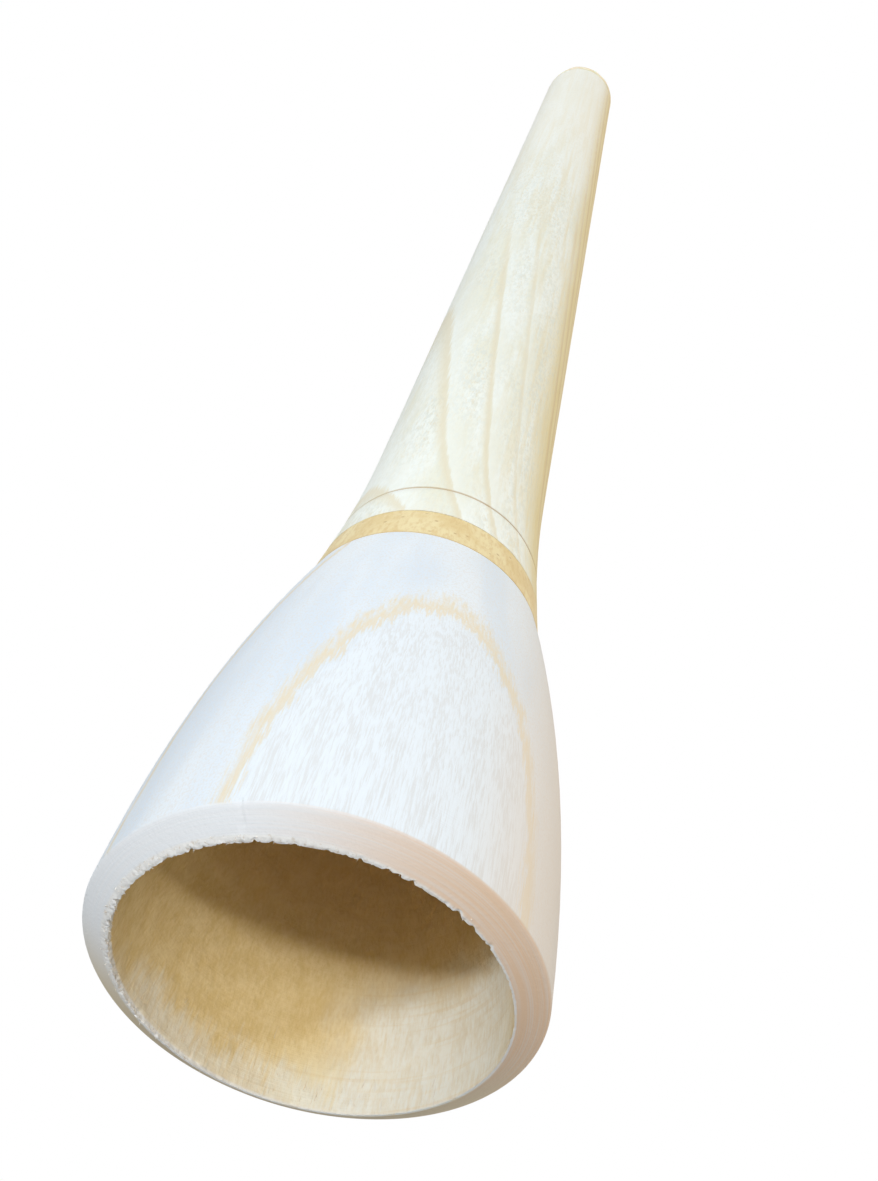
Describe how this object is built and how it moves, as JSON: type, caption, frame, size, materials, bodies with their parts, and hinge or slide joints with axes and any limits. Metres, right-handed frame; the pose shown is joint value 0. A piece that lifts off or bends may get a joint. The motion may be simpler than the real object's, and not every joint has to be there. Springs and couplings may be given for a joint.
{
  "type": "didgeridoo",
  "caption": "Short take-apart didgeridoo in pale turned wood: a wide flared bell, a honey-coloured joint ring and a long tapered stem with a wax mouthpiece.",
  "frame": {"origin": "centre of the bell's mouth, on the plane of the rim that it stands on", "axes": "+Z along the bore from the bell to the mouthpiece; X and Y are any two directions across, because every piece is round about Z"},
  "size_m": [0.14, 0.14, 0.844],
  "materials": {
    "bell_wood": "raw, turned and lightly sanded",
    "stem_wood": "raw, turned and sanded",
    "collar_wood": "satin, honey-coloured, with brown flecks",
    "waxed_thread": "tightly wound and waxed",
    "beeswax": "pale, smooth and slightly waxy"
  },
  "bodies": {
    "bell": {"bell": "bell_wood"},
    "stem": {"stem": "stem_wood", "joint_collar": "collar_wood", "tenon_lapping": "waxed_thread", "mouthpiece": "beeswax"}
  },
  "joints": [
    {"name": "plug_joint", "type": "slide", "parent": "bell", "child": "stem", "axis": [0, 0, 1], "range_m": [0, 0.055]}
  ]
}
